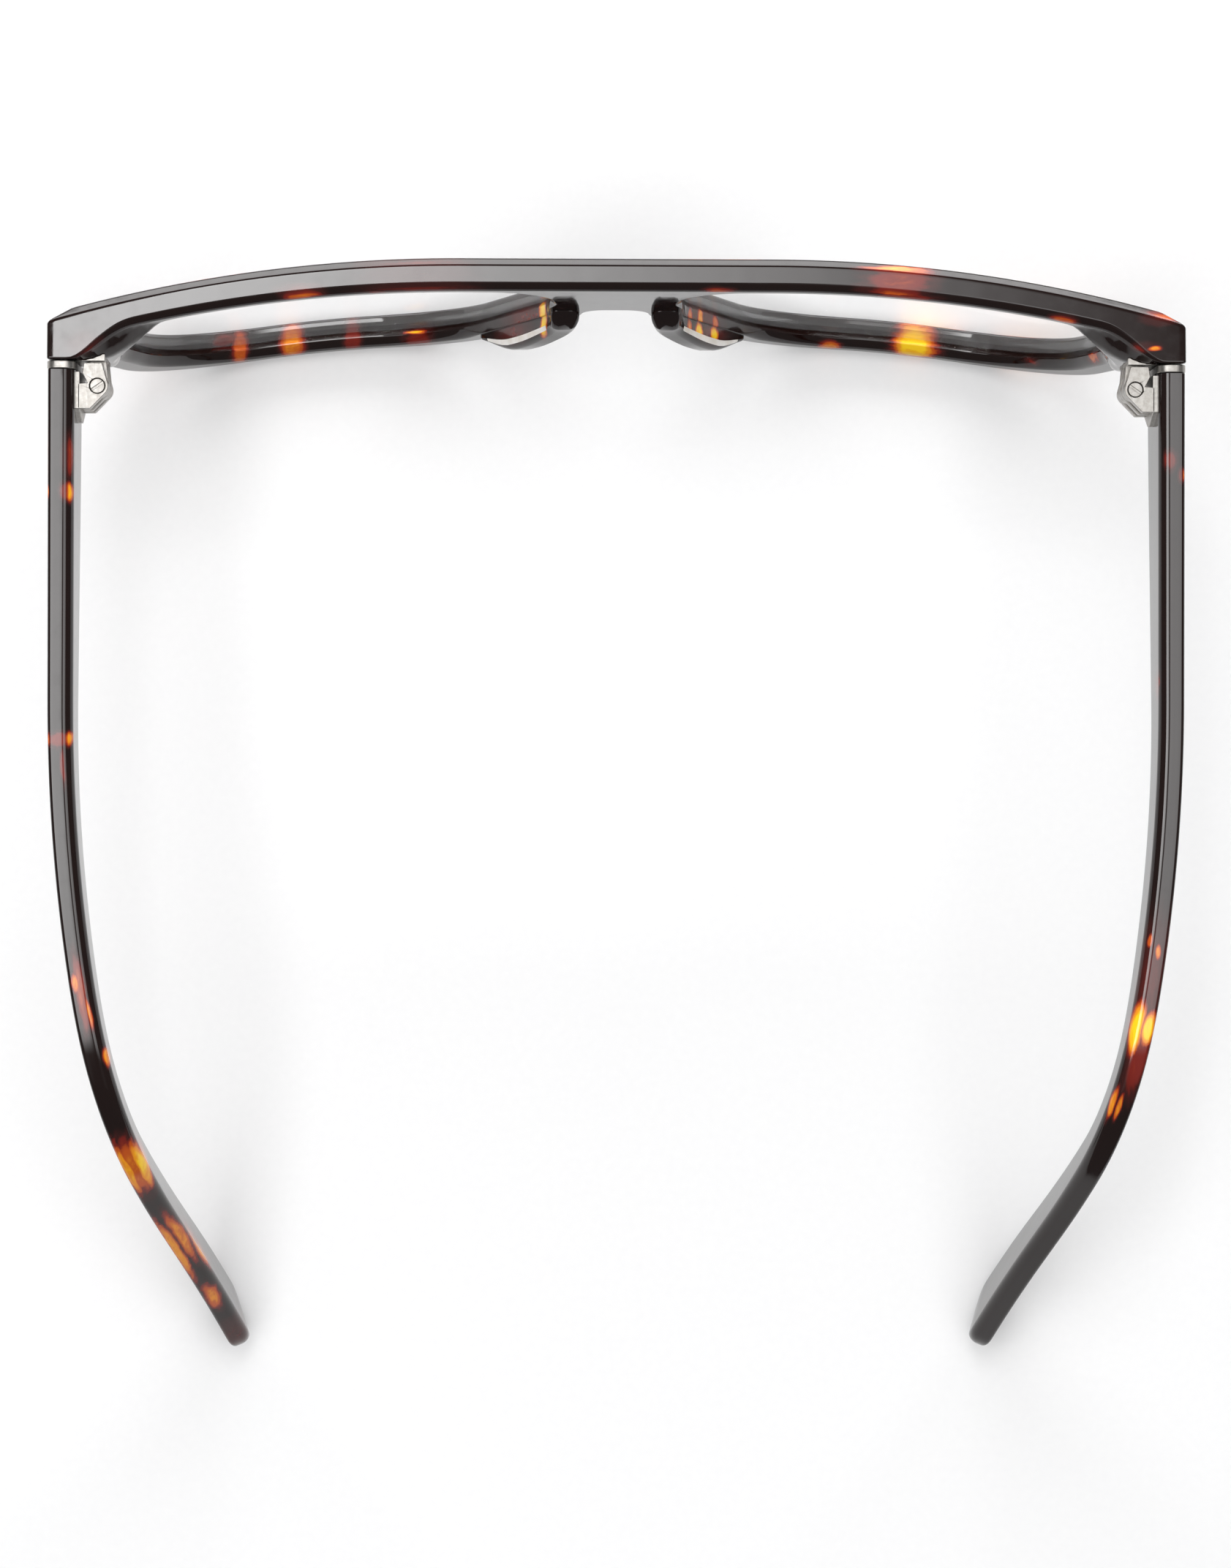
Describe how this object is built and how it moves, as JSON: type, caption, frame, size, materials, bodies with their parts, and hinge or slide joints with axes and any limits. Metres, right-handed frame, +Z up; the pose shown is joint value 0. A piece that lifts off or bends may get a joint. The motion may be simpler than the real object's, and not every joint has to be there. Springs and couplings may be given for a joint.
{
  "type": "eyeglasses frame",
  "caption": "Open acetate eyeglasses frame with a straight brow line, demo lenses, bonded nose pads, metal knuckle hinges and temples with bent ends.",
  "frame": {"origin": "middle of the box's footprint, on the surface that the rims and the temple tips stand on", "axes": "+X to the wearer's left, +Y from the front back along the temples, +Z up"},
  "size_m": [0.145, 0.1433, 0.046],
  "materials": {
    "acetate": "polished dark tortoiseshell acetate",
    "lens": "clear demo lens",
    "nickel": "polished nickel silver"
  },
  "bodies": {
    "front": {"front_frame": "acetate", "lens_left": "lens", "lens_right": "lens", "nose_pad_left": "acetate", "nose_pad_right": "acetate", "front_hinge_leaf_left": "nickel", "front_hinge_leaf_right": "nickel"},
    "temple_left": {"temple_left": "acetate", "temple_end_plate_left": "nickel", "temple_hinge_leaf_left": "nickel", "hinge_screw_left": "nickel", "core_wire_left": "nickel"},
    "temple_right": {"temple_right": "acetate", "temple_end_plate_right": "nickel", "temple_hinge_leaf_right": "nickel", "hinge_screw_right": "nickel", "core_wire_right": "nickel"}
  },
  "joints": [
    {"name": "hinge_left", "type": "hinge", "parent": "front", "child": "temple_left", "pos_m": [0.0663, -0.0553, 0.0397], "axis": [0, 0, 1], "range_deg": [0, 83]},
    {"name": "hinge_right", "type": "hinge", "parent": "front", "child": "temple_right", "pos_m": [-0.0663, -0.0553, 0.0397], "axis": [0, 0, -1], "range_deg": [0, 77]}
  ]
}
